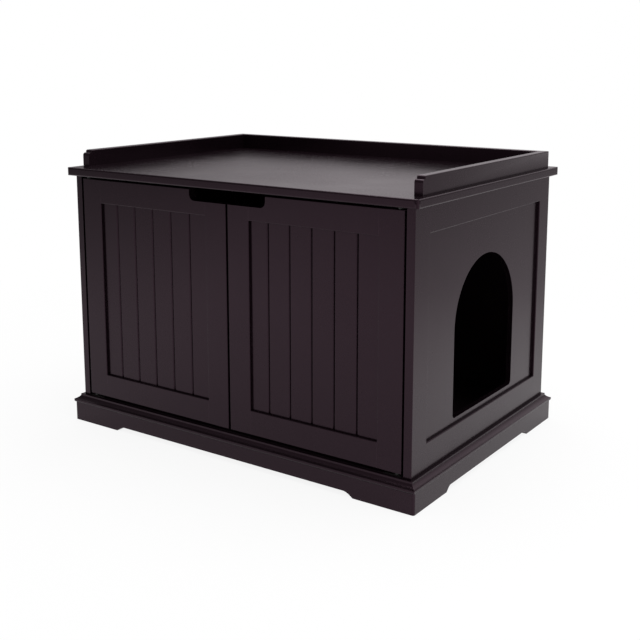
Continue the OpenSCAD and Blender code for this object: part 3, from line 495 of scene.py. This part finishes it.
print("finishes with the metals:", sorted(finishes))

# %% Finishes: plastics
finishes["black_plastic"] = finish(
    "moulded_plastic", paint_group,
    {"Paint": (0.018, 0.018, 0.019), "Wear_and_highlight": (0.03, 0.03, 0.03), "Gloss": 0.5},
    bump_mm=0.01, ior=1.46)
finishes["nylon"] = finish(
    "black_nylon", paint_group,
    {"Paint": (0.02, 0.02, 0.02), "Wear_and_highlight": (0.03, 0.03, 0.03), "Gloss": 0.45},
    bump_mm=0.006, ior=1.5)
print("all finishes:", sorted(finishes))

# %% [markdown]
# ## The boards
# A packed board is a heap of loose triangles. Its shape is right, but it can't be shaded smoothly
# or have its arrises broken. So each board is redrawn: the triangles are merged, flat stretches are
# joined into single faces, the arrises that show are bevelled, and the faces are shaded smooth with
# their normals weighted by area, which keeps the flats dead flat and lets only the arrises turn the
# light. Each new board stands for exactly one packed board.

# %% Boards: redrawing one
WELD = 0.005 * MM
FLAT_DEGREES = 0.6
ARRIS_DEGREES = 35
ARRIS_SEGMENTS = 3


def redraw(node):
    """A welded copy of a packed board, with its flat stretches joined into single faces."""
    bm = bmesh.new()
    bm.from_mesh(nodes[node].data)
    bmesh.ops.remove_doubles(bm, verts=bm.verts, dist=WELD)
    bmesh.ops.dissolve_limit(
        bm, angle_limit=math.radians(FLAT_DEGREES), verts=bm.verts, edges=bm.edges)
    return bm


def arrises(bm, keep):
    """The edges that turn sharply and that keep(edge) accepts."""
    limit = math.radians(ARRIS_DEGREES)
    return [e for e in bm.edges
            if len(e.link_faces) == 2 and e.calc_face_angle(0) > limit and keep(e)]


def break_arrises(bm, edges, width_mm):
    bmesh.ops.bevel(
        bm, geom=edges, offset=width_mm * MM, offset_type="OFFSET", segments=ARRIS_SEGMENTS,
        profile=0.5, affect="EDGES", clamp_overlap=True, material=-1)


# %% Boards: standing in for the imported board
CREASE_DEGREES = 38
WEIGHT_BY_AREA = 100


def stand_in(bm, node):
    """Makes the redrawn board an object that stands for its node."""
    crease = math.radians(CREASE_DEGREES)
    for face in bm.faces:
        face.smooth = True
    for edge in bm.edges:
        edge.smooth = len(edge.link_faces) == 2 and edge.calc_face_angle(0) < crease
    mesh = bpy.data.meshes.new(node + "_board")
    bm.to_mesh(mesh)
    bm.free()
    board = bpy.data.objects.new(node + "_board", mesh)
    scene.collection.objects.link(board)
    weighted = board.modifiers.new("flat_faces_first", "WEIGHTED_NORMAL")
    weighted.keep_sharp = True
    weighted.weight = WEIGHT_BY_AREA
    mesh.materials.append(finishes[slot_of[node]])
    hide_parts(node)
    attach(board, body_of[node])


# %% [markdown]
# Only outward arrises of some length are broken: the rims of screw and dowel holes are cut after
# the boards are shaped, and an inner corner has no arris. The gallery and the plinth are rounded
# twice as much as the rest, because hands and feet meet them first. Boards of the inside finish
# hardly show, so they keep their sawn arrises.

# %% Boards: redrawing them all
ARRIS_MM = 0.7
HANDLED_ARRIS_MM = 1.5
LONG_MM = 12


def on_show(edge):
    return edge.is_convex and edge.calc_length() > LONG_MM * MM


boards = sorted(n for n in nodes if slot_of[n] in ("espresso", "espresso_inside"))
faces = 0
for node in boards:
    bm = redraw(node)
    if slot_of[node] == "espresso":
        handled = node.startswith(("gallery", "plinth"))
        break_arrises(bm, arrises(bm, on_show), HANDLED_ARRIS_MM if handled else ARRIS_MM)
    faces += len(bm.faces)
    stand_in(bm, node)
print("boards redrawn:", len(boards), "faces:", faces)

# %% [markdown]
# ## The fittings
# Hinge plates, leaves, screws, dowels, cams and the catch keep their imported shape, which is exact
# down to the cross slots. They only take their finish.

# %% Fittings
fittings = sorted(n for n in nodes if n not in boards)
for node in fittings:
    mesh = nodes[node].data
    mesh.materials.clear()
    mesh.materials.append(finishes[slot_of[node]])
print("fittings:", len(fittings))
